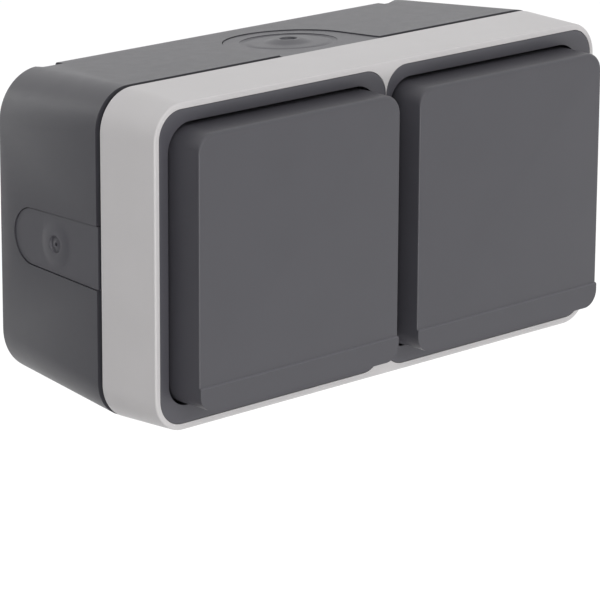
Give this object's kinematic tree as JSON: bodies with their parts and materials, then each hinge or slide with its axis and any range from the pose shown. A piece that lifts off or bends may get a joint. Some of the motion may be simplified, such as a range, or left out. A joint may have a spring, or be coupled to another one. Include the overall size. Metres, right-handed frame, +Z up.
{
  "type": "surface-mounted socket outlet with hinged lids",
  "caption": "Splash-proof surface-mounted double socket outlet: drafted dark box, light front frame and sprung hinged lids over earthed sockets.",
  "frame": {"origin": "centre of the wall face, where the box meets the wall", "axes": "+X along the outlet's length to the right seen from the room, +Y into the wall, +Z up; lids face -Y"},
  "size_m": [0.1496, 0.0666, 0.0796],
  "materials": {
    "housing": "dark grey thermoplastic, fine spark texture",
    "frame": "light grey thermoplastic, fine spark texture",
    "membrane": "dark grey soft plastic",
    "seal": "black sealing rubber",
    "base": "ivory thermoset",
    "brass": "bright rolled brass",
    "steel": "zinc-plated steel"
  },
  "bodies": {
    "housing": {"back_box": "housing", "box_seal": "seal", "front_frame": "frame", "entry_top": "membrane", "entry_bottom": "membrane", "entry_left": "membrane", "entry_right": "membrane", "bezel_left": "housing", "bezel_seal_left": "seal", "hinge_pin_left": "steel", "hinge_spring_left": "steel", "socket_well_left": "housing", "earth_strap_left": "brass", "contact_line_left": "brass", "contact_neutral_left": "brass", "insert_base_left": "base", "centre_screw_left": "steel", "terminal_screw_line_left": "steel", "terminal_screw_neutral_left": "steel", "terminal_screw_earth_left": "steel", "insert_screw_outer_left": "steel", "insert_screw_inner_left": "steel", "bezel_right": "housing", "bezel_seal_right": "seal", "hinge_pin_right": "steel", "hinge_spring_right": "steel", "socket_well_right": "housing", "earth_strap_right": "brass", "contact_line_right": "brass", "contact_neutral_right": "brass", "insert_base_right": "base", "centre_screw_right": "steel", "terminal_screw_line_right": "steel", "terminal_screw_neutral_right": "steel", "terminal_screw_earth_right": "steel", "insert_screw_outer_right": "steel", "insert_screw_inner_right": "steel"},
    "lid_left": {"lid_left": "housing", "lid_seal_left": "seal"},
    "lid_right": {"lid_right": "housing", "lid_seal_right": "seal"}
  },
  "joints": [
    {"name": "lid_left_hinge", "type": "hinge", "parent": "housing", "child": "lid_left", "pos_m": [-0.0355, -0.0618, 0.0286], "axis": [-1, 0, 0], "range_deg": [0, 95], "stiffness_Nm_per_rad": 0.008, "springref_deg": -34.38, "deforming": ["hinge_spring_left"]},
    {"name": "lid_right_hinge", "type": "hinge", "parent": "housing", "child": "lid_right", "pos_m": [0.0355, -0.0618, 0.0286], "axis": [-1, 0, 0], "range_deg": [0, 95], "stiffness_Nm_per_rad": 0.008, "springref_deg": -34.38, "deforming": ["hinge_spring_right"]}
  ]
}
